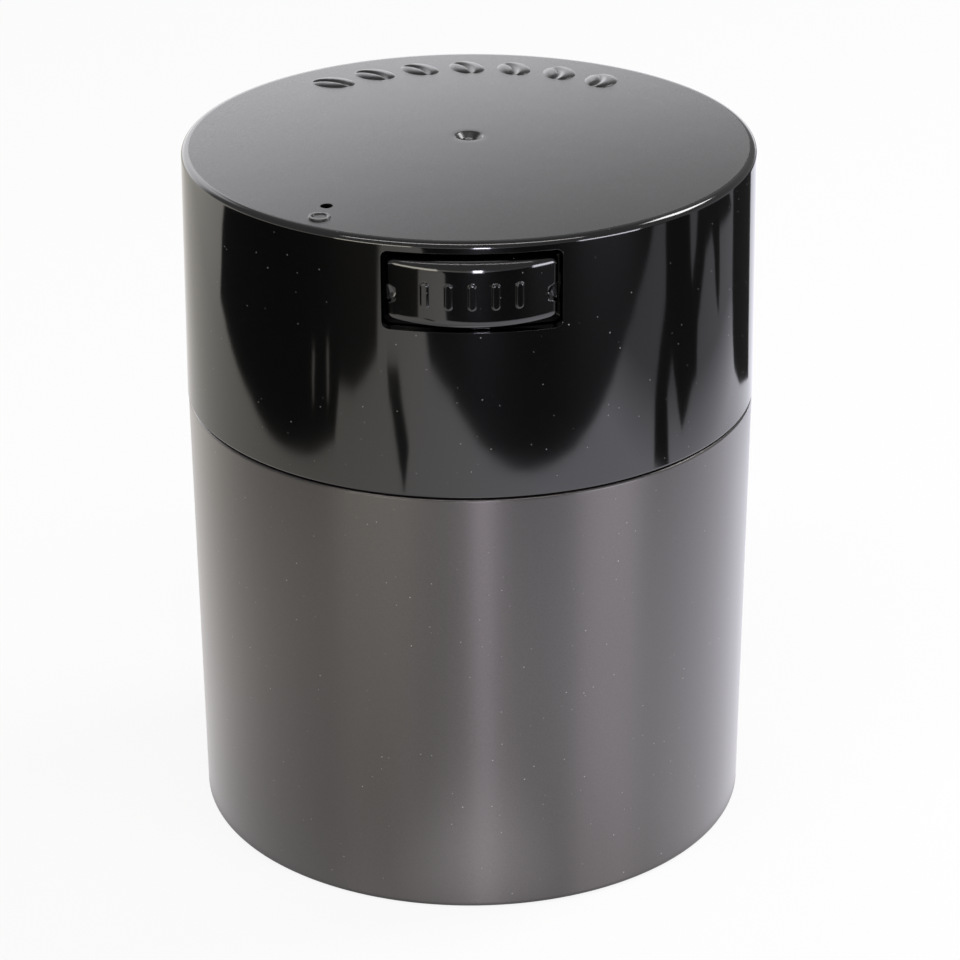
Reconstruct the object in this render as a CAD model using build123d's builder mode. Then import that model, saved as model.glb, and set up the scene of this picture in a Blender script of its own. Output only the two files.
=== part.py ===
from build123d import *
from math import cos, degrees, hypot, pi, radians, sin, sqrt
import os

# A push-button coffee canister. A drafted cup with a narrower neck carries a deep skirted cap. The cap
# is an outer shell over an inner deck, whose plug seals in the neck. Pressing the button at the front
# slides a stopper pad off an air port, so that the cap can be pushed on or lifted. A one-way valve in
# the deck lets the gas of fresh coffee out. Millimetres, +Z up, the button towards -Y.

# Overall form
cap_foot_radius = 51.5
cap_height = 46.1
cap_draft = 0.5             # how much narrower the cap is at its rim than at its foot
shoulder_height = 81.1
shoulder_inset = 0.15       # from the skirt's foot back to the canister's shoulder
body_draft = 0.85           # how much narrower the canister is at its base than at its shoulder
crown_rise = 1.0            # how far the cap's top swells above its rim
seam_gap = 0.3              # between the canister's shoulder and the skirt's foot
cut_overrun = 2.0           # how far each cutting shape runs past what it cuts

# Canister body
neck_wall = 1.9
skirt_clearance = 0.35      # between the neck and the skirt
bore_taper = 0.55           # how much wider the bore is at its mouth than at its floor
floor_thickness = 3.2
foot_ring_width = 4.5
foot_recess = 1.0
foot_edge = 0.9
floor_corner = 3.0
lip_edge = 0.6
shoulder_edge = 0.3

# Moulding marks, at the centre of the cap's top and under the base
gate_radius = 2.5
gate_depth = 0.9
gate_floor_radius = 1.5
gate_stub_radius = 0.75
gate_stub_height = 0.35
gate_boss_radius = 4.5
gate_boss_depth = 1.0

# Outer cap
skirt_wall = 1.9
top_wall = 1.8
rim_edge = 1.0
skirt_edge = 0.35
inner_corner = 1.2
vent_radius = 1.1
vent_inset = 9.6            # from the cap's rim
vent_angle = 36.0           # from the button, towards -X
bearing_rib_width = 1.6
bearing_rib_depth = 5.0
bearing_rib_angle = 30.0    # from rib to rib; the two places that face the button stay empty
snap_bead_radius = 0.35
snap_bead_play = 0.1
relief_height = 0.4         # of every raised shape on the cap and the button
mark_ring_radius = 1.9      # a plain raised ring beside the vent hole
mark_ring_width = 0.6
mark_ring_height = 0.2
mark_inset = 5.0            # from the cap's rim
mark_angle = 33.5

# Row of raised bean shapes along the back of the cap's top
bean_count = 7
bean_pitch = 8.9            # along the row
bean_row_inset = 10.2       # from the cap's rim
bean_length = 8.4
bean_width = 6.0
bean_lean_angle = 28.0
bean_crease_width = 0.9
bean_crease_radius = 7.0

# Button window in the skirt, round the button's face
window_fall = 0.1           # of the window's upper edge below the underside of the cap's top
window_end_gap = 0.9
window_upper_gap = 0.85
window_lower_gap = 1.05
window_corner = 1.2

# Press button
button_width = 28.4
button_travel = 3.0
face_height = 12.0          # at the middle
face_end_fall = 1.0         # how much lower the face is at its ends
face_radius = 27.5          # in plan, a tighter curve than the skirt's
face_proud = 1.6            # how far the middle of the face stands out of the skirt
face_corner = 1.4
face_edge = 0.9
notch_radius = 1.6
notch_fall = 0.75           # below the middle of the face
notch_back = 1.65           # from the plate's front to the notch's floor
plate_thickness = 2.0       # of the plate behind the face
plate_ear = 2.5             # how far the plate reaches past the window, where it stops the button
plate_upper_gap = 1.8       # to the underside of the cap's top
plate_clearance = 0.3
grip_bar_count = 5
grip_bar_pitch = 4.0
grip_bar_width = 1.3
grip_bar_height = 4.6
grip_fall = 0.15            # below the middle of the face
joint_pad_width = 13.0      # the flat on the plate's back that takes the slide
joint_pad_depth = 3.2       # from the plate's front
joint_peg_radius = 1.2
joint_peg_length = 1.6
joint_peg_pitch = 8.0
joint_peg_height = 6.0
spring_boss_radius = 3.4
spring_boss_depth = 4.9     # from the plate's front
spring_boss_gap = 1.6       # from the flat to the nearest side of each seat
spring_post_radius = 1.4
spring_post_length = 3.5

# Inner cap: deck, flange and plug
mechanism_room = 16.5       # from the deck to the underside of the cap's top
deck_thickness = 2.2
flange_clearance = 0.15
plug_wall = 2.0
plug_clearance = 0.6        # between the plug's lands and the bore
plug_length = 13.6
plug_edge = 0.5
plug_corner = 1.0
seal_groove_depth = 2.4
seal_groove_height = 4.2
lower_land_height = 1.6
upper_land_height = 1.8
deck_rib_count = 6
deck_rib_width = 1.6
deck_rib_depth = 2.5
guide_rail_width = 1.6
guide_rail_height = 2.0

# Lip seal
seal_clearance = 0.1
seal_band_thickness = 1.2
seal_lip_thickness = 0.6
seal_lip_drop = 0.4         # from the band's top to the lip's tip
seal_tip_height = 0.5
seal_root_height = 1.2

# Valve slide, its stopper pad and the air port
slide_width = 16.0
slide_thickness = 1.8
slide_height = 0.5          # of the slide's underside above the deck
slide_clearance = 0.3
slide_tail = 8.0            # past the air port
slide_port_radius = 1.8
upstand_thickness = 2.0
upstand_height = 8.8
gusset_thickness = 1.6
gusset_length = 6.0
gusset_drop = 1.0
runner_width = 1.2
port_gap = 8.5              # from the keeper's back edge to the middle of the port
port_radius = 1.3
pad_length = 12.0
pad_width = 9.0
pad_pocket_depth = 1.0
pad_corner = 1.0
grommet_radius = 2.6
grommet_flange = 1.2
grommet_rim_height = 0.3
grommet_foot_height = 0.8
contact_gap = 0.05          # between faces that slide or lift, and between a plug and its hole

# Slide keeper and its screws
keeper_depth = 9.5
keeper_width = 39.0
keeper_thickness = 1.8
keeper_corner = 3.0
keeper_wall_thickness = 2.0
keeper_wall_margin = 1.8    # of the wall round the springs
keeper_pad_height = 0.4
keeper_pad_width = 2.0
keeper_pad_pitch = 12.0
keeper_gusset_pitch = 9.0
keeper_gusset_length = 4.5
boss_radius = 3.0
boss_floor = 1.0            # of the deck left under the screw
screw_inset = 4.0           # from the keeper's ends
screw_radius = 1.1
screw_hole_play = 0.2
screw_tip_gap = 0.2
screw_head_radius = 2.4
screw_head_height = 1.7
screw_head_edge = 0.6
screw_point = 0.8
screw_recess_width = 0.6
screw_recess_length = 2.6
screw_recess_depth = 0.9

# Button springs
spring_room = 13.92         # from their seats on the button to the keeper's wall
spring_fall = 1.25          # below the middle of the button's face
spring_radius = 2.45
wire_radius = 0.25
spring_turns = 7

# One-way valve in the deck
valve_setback = 22.0        # from the cap's axis, away from the button
valve_radius = 7.5
valve_flange = 1.5
valve_wall = 1.2
valve_rim_height = 1.2      # of the housing's flange above the deck
valve_depth = 1.6           # from the deck's top to the housing's floor
valve_floor_thickness = 1.2
valve_skirt = 1.3           # below the floor, round the filter
seat_ring_width = 0.8
seat_ring_height = 0.6
valve_port_count = 4
valve_port_radius_share = 0.23      # of the seat ring's inner radius
valve_port_distance_share = 0.57
disc_play = 0.7             # round the disc in its housing
disc_overlap = 0.4          # of the disc past the seat ring
disc_thickness = 0.8
disc_lift = 0.8
cover_thickness = 1.2
cover_edge = 0.4
cover_port_count = 6
cover_port_radius_share = 0.165     # of the radius inside the cover's spigot
cover_port_distance_share = 0.66
cover_spigot_width = 1.4
filter_thickness = 0.9

os.makedirs("parts", exist_ok=True)

# Heights and radii that several pieces share
cap_rim_radius = cap_foot_radius - cap_draft
shoulder_radius = cap_foot_radius - shoulder_inset
base_radius = shoulder_radius - body_draft
skirt_foot = shoulder_height + seam_gap
rim_plane = skirt_foot + cap_height
top_under = rim_plane - top_wall
deck_top = top_under - mechanism_room
deck_under = deck_top - deck_thickness
neck_top = deck_under
dome_flat = cap_rim_radius - rim_edge
dome_radius = (dome_flat ** 2 + crown_rise ** 2) / (2 * crown_rise)


def cap_outside(height):
    """The skirt's outer radius at a height."""
    share = (rim_plane - height) / cap_height
    return cap_rim_radius + share * (cap_foot_radius - cap_rim_radius)


def cap_inside(height):
    return cap_outside(height) - skirt_wall


def neck_outside(height):
    return cap_inside(height) - skirt_clearance


def bore(height):
    """The canister's inner radius at a height, widest at the mouth."""
    share = (neck_top - height) / (neck_top - floor_thickness)
    return neck_outside(neck_top) - neck_wall - share * bore_taper


def dome(radius):
    """The height of the cap's top at a distance from its axis."""
    return rim_plane + crown_rise - dome_radius + sqrt(dome_radius ** 2 - radius ** 2)


def polar(distance, angle):
    """A place on the cap, with the angle counted from the button towards -X."""
    return (-distance * sin(radians(angle)), -distance * cos(radians(angle)))


def front_plane(distance, height=0):
    """An upright plane in front of the axis, facing the front, with its middle at a height."""
    return Plane(origin=(0, -distance, height), x_dir=(1, 0, 0), z_dir=(0, -1, 0))


def axis_at(x, distance):
    """An upright axis in front of the cap's own."""
    return Axis((x, -distance, 0), (0, 0, 1))


def corner_at(sketch, radius, height):
    """The corner of a profile that lies nearest to a place."""
    return sketch.vertices().sort_by(lambda v: hypot(v.X - radius, v.Y - height))[0]


def finish(piece, name):
    piece.part.label = name
    export_step(piece.part, f"parts/{name}.step")


# Canister body: one revolved wall, whose bore widens steadily to its mouth
foot_inside = base_radius - foot_ring_width
with BuildPart() as canister_body:
    with BuildSketch(Plane.XZ):
        with BuildLine():
            FilletPolyline(
                (0, floor_thickness),
                (bore(floor_thickness), floor_thickness),
                (bore(neck_top), neck_top),
                (neck_outside(neck_top), neck_top),
                (neck_outside(shoulder_height), shoulder_height),
                (shoulder_radius, shoulder_height),
                (base_radius, 0),
                (foot_inside, 0),
                (foot_inside - foot_recess, foot_recess),
                (gate_radius, foot_recess),
                (gate_floor_radius, foot_recess + gate_depth),
                (0, foot_recess + gate_depth),
                radius=[
                    0, floor_corner, lip_edge, lip_edge, 0, shoulder_edge,
                    foot_edge, lip_edge, 0, 0, 0, 0,
                ],
                close=True,
            )
        make_face()
    revolve(axis=Axis.Z)
finish(canister_body, "canister_body")


# One raised bean in plan, split by a curved crease
with BuildSketch() as bean_crease:
    with Locations((0, bean_crease_radius)):
        Circle(bean_crease_radius + bean_crease_width / 2)
        Circle(bean_crease_radius - bean_crease_width / 2, mode=Mode.SUBTRACT)
with BuildSketch() as bean:
    Ellipse(bean_length / 2, bean_width / 2)
    add(bean_crease.sketch, mode=Mode.SUBTRACT)

# The row of beans: a layer that follows the dome, cut to their outlines
bean_row_radius = cap_rim_radius - bean_row_inset
bean_row_angle = degrees((bean_count - 1) * bean_pitch / bean_row_radius)
with BuildPart() as bean_row:
    with BuildSketch(Plane.XZ):
        with BuildLine():
            ThreePointArc(
                (0, dome(0) + relief_height),
                (dome_flat / 2, dome(dome_flat / 2) + relief_height),
                (dome_flat, rim_plane + relief_height),
            )
            Polyline(
                (dome_flat, rim_plane + relief_height),
                (dome_flat, rim_plane - relief_height),
                (0, rim_plane - relief_height),
                (0, dome(0) + relief_height),
            )
        make_face()
    revolve(axis=Axis.Z)
    with BuildSketch(Plane.XY.offset(rim_plane - relief_height)):
        with PolarLocations(
            bean_row_radius, bean_count, 90 - bean_row_angle / 2, bean_row_angle, endpoint=True
        ):
            add(bean.sketch, rotation=bean_lean_angle)
    extrude(amount=crown_rise + 2 * relief_height, mode=Mode.INTERSECT)


# Outer cap: the shell, its window, its vent hole and the ribs that bear on the deck
window_width = button_width + 2 * window_end_gap
window_height = window_upper_gap + face_height + window_lower_gap
window_top = top_under - window_fall
window_middle = window_top - window_height / 2
window_back = sqrt(cap_inside(top_under) ** 2 - (window_width / 2) ** 2) - cut_overrun
gate_floor = dome(0) - gate_depth
boss_under = dome(0) - top_wall - gate_boss_depth
rib_plan_depth = bearing_rib_depth + skirt_wall / 2
rib_distance = cap_inside(deck_top) + skirt_wall / 2 - rib_plan_depth / 2
with BuildPart() as outer_cap:
    with BuildSketch(Plane.XZ) as shell_profile:
        corner_radius = cap_inside(top_under)
        corner_height = dome(corner_radius) - top_wall
        with BuildLine():
            # The moulding mark, a shallow countersink with a stub in it
            Polyline(
                (0, gate_floor + gate_stub_height),
                (gate_stub_radius, gate_floor + gate_stub_height),
                (gate_stub_radius, gate_floor),
                (gate_floor_radius, gate_floor),
                (gate_radius, dome(gate_radius)),
            )
            ThreePointArc(
                (gate_radius, dome(gate_radius)),
                (dome_flat / 2, dome(dome_flat / 2)),
                (dome_flat, rim_plane),
            )
            FilletPolyline(
                (dome_flat, rim_plane),
                (cap_rim_radius, rim_plane),
                (cap_foot_radius, skirt_foot),
                (cap_foot_radius - skirt_wall, skirt_foot),
                (corner_radius, corner_height),
                radius=[rim_edge, skirt_edge, skirt_edge],
            )
            ThreePointArc(
                (corner_radius, corner_height),
                (corner_radius / 2, dome(corner_radius / 2) - top_wall),
                (gate_boss_radius, dome(gate_boss_radius) - top_wall),
            )
            Polyline(
                (gate_boss_radius, dome(gate_boss_radius) - top_wall),
                (gate_boss_radius, boss_under),
                (0, boss_under),
                (0, gate_floor + gate_stub_height),
            )
        make_face()
        fillet(corner_at(shell_profile, corner_radius, corner_height), inner_corner)
    revolve(axis=Axis.Z)
    # Ribs from the corner of the shell down to the deck
    with BuildSketch(Plane.XY.offset(deck_top)):
        with PolarLocations(
            rib_distance,
            round(360 / bearing_rib_angle) - 2,
            -90 + 1.5 * bearing_rib_angle,
            360 - 3 * bearing_rib_angle,
            endpoint=True,
        ):
            Rectangle(rib_plan_depth, bearing_rib_width)
    extrude(amount=rim_plane - top_wall / 2 - deck_top)
    # The bead that snaps into the deck's edge
    with BuildSketch(Plane.XZ):
        bead_height = deck_top - deck_thickness / 2
        with Locations((cap_inside(bead_height), bead_height)):
            Circle(snap_bead_radius)
    revolve(axis=Axis.Z)
    with BuildSketch(front_plane(window_back, window_middle)):
        RectangleRounded(window_width, window_height, window_corner)
    extrude(amount=cap_foot_radius - window_back + cut_overrun, mode=Mode.SUBTRACT)
    with BuildSketch(Plane.XY.offset(top_under - cut_overrun)):
        with Locations(polar(cap_rim_radius - vent_inset, vent_angle)):
            Circle(vent_radius)
    extrude(amount=top_wall + crown_rise + 2 * cut_overrun, mode=Mode.SUBTRACT)
    mark_distance = cap_rim_radius - mark_inset
    with BuildSketch(Plane.XY.offset(rim_plane - top_wall / 2)):
        with Locations(polar(mark_distance, mark_angle)):
            Circle(mark_ring_radius)
            Circle(mark_ring_radius - mark_ring_width, mode=Mode.SUBTRACT)
    extrude(amount=dome(mark_distance) + mark_ring_height - rim_plane + top_wall / 2)
    add(bean_row.part)
finish(outer_cap, "outer_cap")


# Press button: a face with a tighter curve than the skirt's, on a plate that follows the skirt
face_middle = window_top - window_upper_gap - face_height / 2
face_end_height = face_height - face_end_fall
face_front = cap_outside(face_middle) + face_proud
face_centre = face_front - face_radius
plate_outer = cap_inside(top_under) - plate_clearance
plate_inner = plate_outer - plate_thickness
plate_foot = deck_top + slide_height
plate_top = top_under - plate_upper_gap
plate_width = window_width + 2 * plate_ear
joint_face = plate_outer - joint_pad_depth
spring_face = plate_outer - spring_boss_depth
spring_height = face_middle - spring_fall
spring_pitch = joint_pad_width + 2 * (spring_boss_gap + spring_boss_radius)
notch_face = plate_outer - notch_back

with BuildPart() as grip_bars:
    with BuildSketch(Plane.XY.offset(face_middle - face_height / 2)):
        with Locations((0, -face_centre)):
            Circle(face_radius + relief_height)
            Circle(face_radius - relief_height, mode=Mode.SUBTRACT)
    extrude(amount=face_height)
    with BuildSketch(front_plane(face_centre, face_middle - grip_fall)):
        with GridLocations(grip_bar_pitch, 0, grip_bar_count, 1):
            SlotOverall(grip_bar_height, grip_bar_width, rotation=90)
    extrude(amount=face_radius + cut_overrun, mode=Mode.INTERSECT)

# Spring seats, rounded off inside the plate, and the posts that centre the springs
with BuildPart() as spring_seats:
    with BuildSketch(front_plane(spring_face, spring_height)):
        with GridLocations(spring_pitch, 0, 2, 1):
            Circle(spring_boss_radius)
    extrude(amount=spring_boss_depth)
    with BuildSketch(Plane.XY.offset(plate_foot)):
        Circle(plate_outer - plate_thickness / 2)
    extrude(amount=plate_top - plate_foot, mode=Mode.INTERSECT)
    with BuildSketch(front_plane(spring_face, spring_height)):
        with GridLocations(spring_pitch, 0, 2, 1):
            Circle(spring_post_radius)
    extrude(amount=-spring_post_length)

with BuildPart() as press_button:
    # The face block: its plan, then its barrel-shaped outline from the front
    with BuildSketch(Plane.XY.offset(face_middle - face_height / 2)):
        with Locations((0, -face_centre)):
            Circle(face_radius)
        Circle(plate_inner, mode=Mode.SUBTRACT)
        with Locations((0, -face_front)):
            Rectangle(button_width, face_front, mode=Mode.INTERSECT)
    extrude(amount=face_height)
    with BuildSketch(front_plane(face_centre, face_middle)) as face_outline:
        with BuildLine():
            half_width = button_width / 2
            half_end = face_end_height / 2
            ThreePointArc((-half_width, half_end), (0, face_height / 2), (half_width, half_end))
            Line((half_width, half_end), (half_width, -half_end))
            ThreePointArc((half_width, -half_end), (0, -face_height / 2), (-half_width, -half_end))
            Line((-half_width, -half_end), (-half_width, half_end))
        make_face()
        fillet(face_outline.vertices(), face_corner)
    extrude(amount=face_radius + cut_overrun, mode=Mode.INTERSECT)
    face = press_button.faces().filter_by(GeomType.CYLINDER).sort_by(Axis.Y)[0]
    fillet(face.edges(), face_edge)
    with BuildSketch(front_plane(notch_face, face_middle - notch_fall)):
        with GridLocations(button_width, 0, 2, 1):
            Circle(notch_radius)
    extrude(amount=face_front - notch_face, mode=Mode.SUBTRACT)
    add(grip_bars.part)
    # The plate with its ears
    with BuildSketch(Plane.XY.offset(plate_foot)):
        Circle(plate_outer)
        Circle(plate_inner, mode=Mode.SUBTRACT)
        with Locations((0, -plate_outer)):
            Rectangle(plate_width, plate_outer, mode=Mode.INTERSECT)
    extrude(amount=plate_top - plate_foot)
    # The flat that takes the slide, with the sockets for its pegs
    with BuildSketch(front_plane(joint_face, plate_foot + upstand_height / 2)):
        Rectangle(joint_pad_width, upstand_height)
    extrude(amount=joint_pad_depth / 2)
    with BuildSketch(front_plane(joint_face, plate_foot + joint_peg_height)):
        with GridLocations(joint_peg_pitch, 0, 2, 1):
            Circle(joint_peg_radius)
    extrude(amount=joint_peg_length, mode=Mode.SUBTRACT)
    add(spring_seats.part)
finish(press_button, "press_button")


# Valve slide: the tongue from the button, under the keeper, to the air port
keeper_front = spring_face - spring_room
keeper_back = keeper_front - keeper_depth
port_setback = keeper_back - port_gap
slide_foot = plate_foot
slide_top = slide_foot + slide_thickness
slide_back = port_setback - slide_tail
pad_setback = port_setback + button_travel / 2
with BuildPart() as valve_slide:
    with BuildSketch(Plane.XY.offset(slide_foot)):
        with Locations((0, -(joint_face + slide_back) / 2)):
            Rectangle(slide_width, joint_face - slide_back)
    extrude(amount=slide_thickness)
    with BuildSketch(front_plane(joint_face, slide_foot + upstand_height / 2)):
        Rectangle(joint_pad_width, upstand_height)
    extrude(amount=-upstand_thickness)
    with BuildSketch(front_plane(joint_face, slide_foot + joint_peg_height)):
        with GridLocations(joint_peg_pitch, 0, 2, 1):
            Circle(joint_peg_radius)
    extrude(amount=joint_peg_length)
    with BuildSketch(Plane.YZ.offset(-gusset_thickness / 2)):
        with BuildLine():
            Polyline(
                (upstand_thickness - joint_face, slide_top),
                (upstand_thickness - joint_face + gusset_length, slide_top),
                (upstand_thickness - joint_face, slide_foot + upstand_height - gusset_drop),
                close=True,
            )
        make_face()
    extrude(amount=gusset_thickness)
    # Runners along both edges of the underside
    with BuildSketch(Plane.XY.offset(deck_top + contact_gap)):
        with Locations((0, -(joint_face + slide_back) / 2)):
            with GridLocations(slide_width - runner_width, 0, 2, 1):
                Rectangle(runner_width, joint_face - slide_back)
    extrude(amount=slide_height - contact_gap)
    with BuildSketch(Plane.XY.offset(slide_foot)):
        with Locations((0, -pad_setback)):
            RectangleRounded(pad_width, pad_length, pad_corner)
    extrude(amount=pad_pocket_depth, mode=Mode.SUBTRACT)
    with BuildSketch(Plane.XY.offset(slide_foot)):
        with Locations((0, -port_setback - button_travel)):
            Circle(slide_port_radius)
    extrude(amount=slide_thickness, mode=Mode.SUBTRACT)
finish(valve_slide, "valve_slide")


# Stopper pad: its hole meets the air port once the button is pressed
pad_foot = deck_top + grommet_rim_height + contact_gap
with BuildPart() as stopper_pad:
    with BuildSketch(Plane.XY.offset(pad_foot)):
        with Locations((0, -pad_setback)):
            RectangleRounded(pad_width, pad_length, pad_corner)
        with Locations((0, -port_setback - button_travel)):
            Circle(port_radius, mode=Mode.SUBTRACT)
    extrude(amount=slide_foot + pad_pocket_depth - pad_foot)
finish(stopper_pad, "stopper_pad")


# Port grommet: a soft ring, pressed through the deck, that the pad seals on
with BuildPart() as port_grommet:
    with BuildSketch(front_plane(port_setback)):
        with BuildLine():
            Polyline(
                (port_radius, deck_top + grommet_rim_height),
                (grommet_radius + grommet_flange, deck_top + grommet_rim_height),
                (grommet_radius + grommet_flange, deck_top),
                (grommet_radius, deck_top),
                (grommet_radius, deck_under),
                (grommet_radius + grommet_flange, deck_under),
                (grommet_radius + grommet_flange, deck_under - grommet_foot_height),
                (port_radius, deck_under - grommet_foot_height),
                close=True,
            )
        make_face()
    revolve(axis=axis_at(0, port_setback))
finish(port_grommet, "port_grommet")


# Inner cap: the deck on the neck's rim, and the plug with its seal groove
plug_foot = neck_top - plug_length
land_radius = bore(plug_foot) - plug_clearance
groove_radius = land_radius - seal_groove_depth
plug_inside = groove_radius - plug_wall
groove_foot = plug_foot + lower_land_height
groove_top = groove_foot + seal_groove_height
land_top = groove_top + upper_land_height
bead_height = deck_top - deck_thickness / 2
flange_radius = cap_inside(bead_height) - flange_clearance
rail_front = spring_face - button_travel - guide_rail_width
rail_back = slide_back - button_travel
rail_pitch = slide_width + 2 * slide_clearance + guide_rail_width
keeper_back_of_wall = keeper_front - keeper_wall_thickness
screw_setback = (keeper_back + keeper_back_of_wall) / 2
screw_pitch = keeper_width - 2 * screw_inset
boss_height = slide_height + slide_thickness + slide_clearance + keeper_pad_height
with BuildPart() as inner_cap:
    with BuildSketch(Plane.XZ):
        with BuildLine():
            FilletPolyline(
                (0, deck_top),
                (flange_radius, deck_top),
                (flange_radius, deck_under),
                (groove_radius, deck_under),
                (groove_radius, land_top),
                (land_radius, land_top),
                (land_radius, groove_top),
                (groove_radius, groove_top),
                (groove_radius, groove_foot),
                (land_radius, groove_foot),
                (land_radius, plug_foot),
                (plug_inside, plug_foot),
                (plug_inside, deck_under),
                (0, deck_under),
                radius=[0, 0, 0, 0, 0, 0, 0, 0, 0, 0, plug_edge, plug_edge, plug_corner, 0],
                close=True,
            )
        make_face()
    revolve(axis=Axis.Z)
    with BuildSketch(Plane.XZ):
        with Locations((cap_inside(bead_height), bead_height)):
            Circle(snap_bead_radius + snap_bead_play)
    revolve(axis=Axis.Z, mode=Mode.SUBTRACT)
    # Ribs across the underside
    with BuildSketch(Plane.XY.offset(deck_under - deck_rib_depth)):
        with PolarLocations(groove_radius / 2, deck_rib_count):
            Rectangle(groove_radius, deck_rib_width)
        Circle(deck_rib_width)
        Circle(plug_inside + plug_wall / 2, mode=Mode.INTERSECT)
        with Locations((0, -port_setback)):
            Circle(grommet_radius + grommet_flange + slide_clearance, mode=Mode.SUBTRACT)
    extrude(amount=deck_rib_depth + deck_thickness / 2)
    # Guide rails beside the slide, and the bosses under the keeper
    with BuildSketch(Plane.XY.offset(deck_top - deck_thickness / 2)):
        with Locations((0, -(rail_front + rail_back) / 2)):
            with GridLocations(rail_pitch, 0, 2, 1):
                Rectangle(guide_rail_width, rail_front - rail_back)
    extrude(amount=deck_thickness / 2 + guide_rail_height)
    with BuildSketch(Plane.XY.offset(deck_top - deck_thickness / 2)):
        with Locations((0, -screw_setback)):
            with GridLocations(screw_pitch, 0, 2, 1):
                Circle(boss_radius)
    extrude(amount=deck_thickness / 2 + boss_height)
    with BuildSketch(Plane.XY.offset(deck_under + boss_floor)):
        with Locations((0, -screw_setback)):
            with GridLocations(screw_pitch, 0, 2, 1):
                Circle(screw_radius + contact_gap)
    extrude(amount=deck_thickness + boss_height, mode=Mode.SUBTRACT)
    # The holes for the grommet and the valve
    with BuildSketch(Plane.XY.offset(deck_under - deck_rib_depth)):
        with Locations((0, -port_setback)):
            Circle(grommet_radius + contact_gap)
        with Locations((0, valve_setback)):
            Circle(valve_radius + contact_gap)
    extrude(amount=deck_rib_depth + deck_thickness, mode=Mode.SUBTRACT)
finish(inner_cap, "inner_cap")


# Lip seal: a band in the plug's groove with a lip that leans up and out to the bore
seal_inside = groove_radius + seal_clearance
seal_band = seal_inside + seal_band_thickness
seal_foot = groove_foot + seal_clearance
seal_top = groove_top - seal_clearance
lip_radius = bore(groove_foot) - seal_clearance
lip_top = seal_top - seal_lip_drop
with BuildPart() as lip_seal:
    with BuildSketch(Plane.XZ):
        with BuildLine():
            Polyline(
                (seal_inside, seal_foot),
                (seal_band, seal_foot),
                (lip_radius, lip_top - seal_tip_height),
                (lip_radius, lip_top),
                (lip_radius - seal_lip_thickness, lip_top),
                (seal_band, seal_foot + seal_root_height),
                (seal_band, seal_top),
                (seal_inside, seal_top),
                close=True,
            )
        make_face()
    revolve(axis=Axis.Z)
finish(lip_seal, "lip_seal")


# Slide keeper: a bridge over the slide, with a wall that backs the springs
keeper_middle = (keeper_front + keeper_back) / 2
keeper_foot = deck_top + boss_height
keeper_top = keeper_foot + keeper_thickness
keeper_wall_reach = spring_radius + wire_radius + keeper_wall_margin
keeper_wall_top = spring_height + keeper_wall_reach
with BuildPart() as slide_keeper:
    with BuildSketch(Plane.XY.offset(keeper_foot)):
        with Locations((0, -keeper_middle)):
            RectangleRounded(keeper_width, keeper_depth, keeper_corner)
    extrude(amount=keeper_thickness)
    with BuildSketch(Plane.XY.offset(keeper_foot)):
        with Locations((0, keeper_wall_thickness / 2 - keeper_front)):
            Rectangle(spring_pitch + 2 * keeper_wall_reach, keeper_wall_thickness)
    extrude(amount=keeper_wall_top - keeper_foot)
    with BuildSketch(Plane.XY.offset(slide_top + slide_clearance)):
        with Locations((0, -keeper_middle)):
            with GridLocations(keeper_pad_pitch, 0, 2, 1):
                Rectangle(keeper_pad_width, keeper_depth)
    extrude(amount=keeper_pad_height + keeper_thickness / 2)
    with BuildSketch(front_plane(keeper_front, spring_height)):
        with GridLocations(spring_pitch, 0, 2, 1):
            Circle(spring_post_radius)
    extrude(amount=spring_post_length)
    with BuildSketch(Plane.YZ) as gusset_profile:
        with BuildLine():
            Polyline(
                (-keeper_back_of_wall, keeper_top),
                (-keeper_back_of_wall + keeper_gusset_length, keeper_top),
                (-keeper_back_of_wall, keeper_wall_top - gusset_drop),
                close=True,
            )
        make_face()
    for i in (-1, 0, 1):
        shift = i * keeper_gusset_pitch
        extrude(
            gusset_profile.sketch.moved(Location((shift - gusset_thickness / 2, 0, 0))),
            amount=gusset_thickness,
        )
    with BuildSketch(Plane.XY.offset(keeper_foot)):
        with Locations((0, -screw_setback)):
            with GridLocations(screw_pitch, 0, 2, 1):
                Circle(screw_radius + screw_hole_play)
    extrude(amount=keeper_thickness, mode=Mode.SUBTRACT)
finish(slide_keeper, "slide_keeper")


# Keeper screws: two pan heads with a cross recess, in the deck's blind bosses
screw_tip = deck_under + boss_floor + screw_tip_gap
with BuildPart() as keeper_screws:
    for x in (-screw_pitch / 2, screw_pitch / 2):
        with BuildSketch(Plane(origin=(x, -screw_setback, 0), x_dir=(1, 0, 0), z_dir=(0, -1, 0))):
            with BuildLine():
                FilletPolyline(
                    (0, screw_tip),
                    (screw_radius, screw_tip + screw_point),
                    (screw_radius, keeper_top),
                    (screw_head_radius, keeper_top),
                    (screw_head_radius, keeper_top + screw_head_height),
                    (0, keeper_top + screw_head_height),
                    radius=[0, 0, 0, screw_head_edge, 0, 0],
                    close=True,
                )
            make_face()
        revolve(axis=axis_at(x, screw_setback))
    with BuildSketch(Plane.XY.offset(keeper_top + screw_head_height - screw_recess_depth)):
        with Locations((0, -screw_setback)):
            with GridLocations(screw_pitch, 0, 2, 1):
                Rectangle(screw_recess_length, screw_recess_width)
                Rectangle(screw_recess_width, screw_recess_length)
    extrude(amount=screw_recess_depth, mode=Mode.SUBTRACT)
finish(keeper_screws, "keeper_screws")


def helix_point(start, length, share):
    """The place on a spring's centre line at a share of its length, and its direction there."""
    turn = 2 * pi * spring_turns * share
    rise = length / (2 * pi * spring_turns)
    place = start + Vector(spring_radius * cos(turn), length * share, spring_radius * sin(turn))
    way = Vector(-spring_radius * sin(turn), rise, spring_radius * cos(turn))
    return place, way.normalized()


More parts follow.
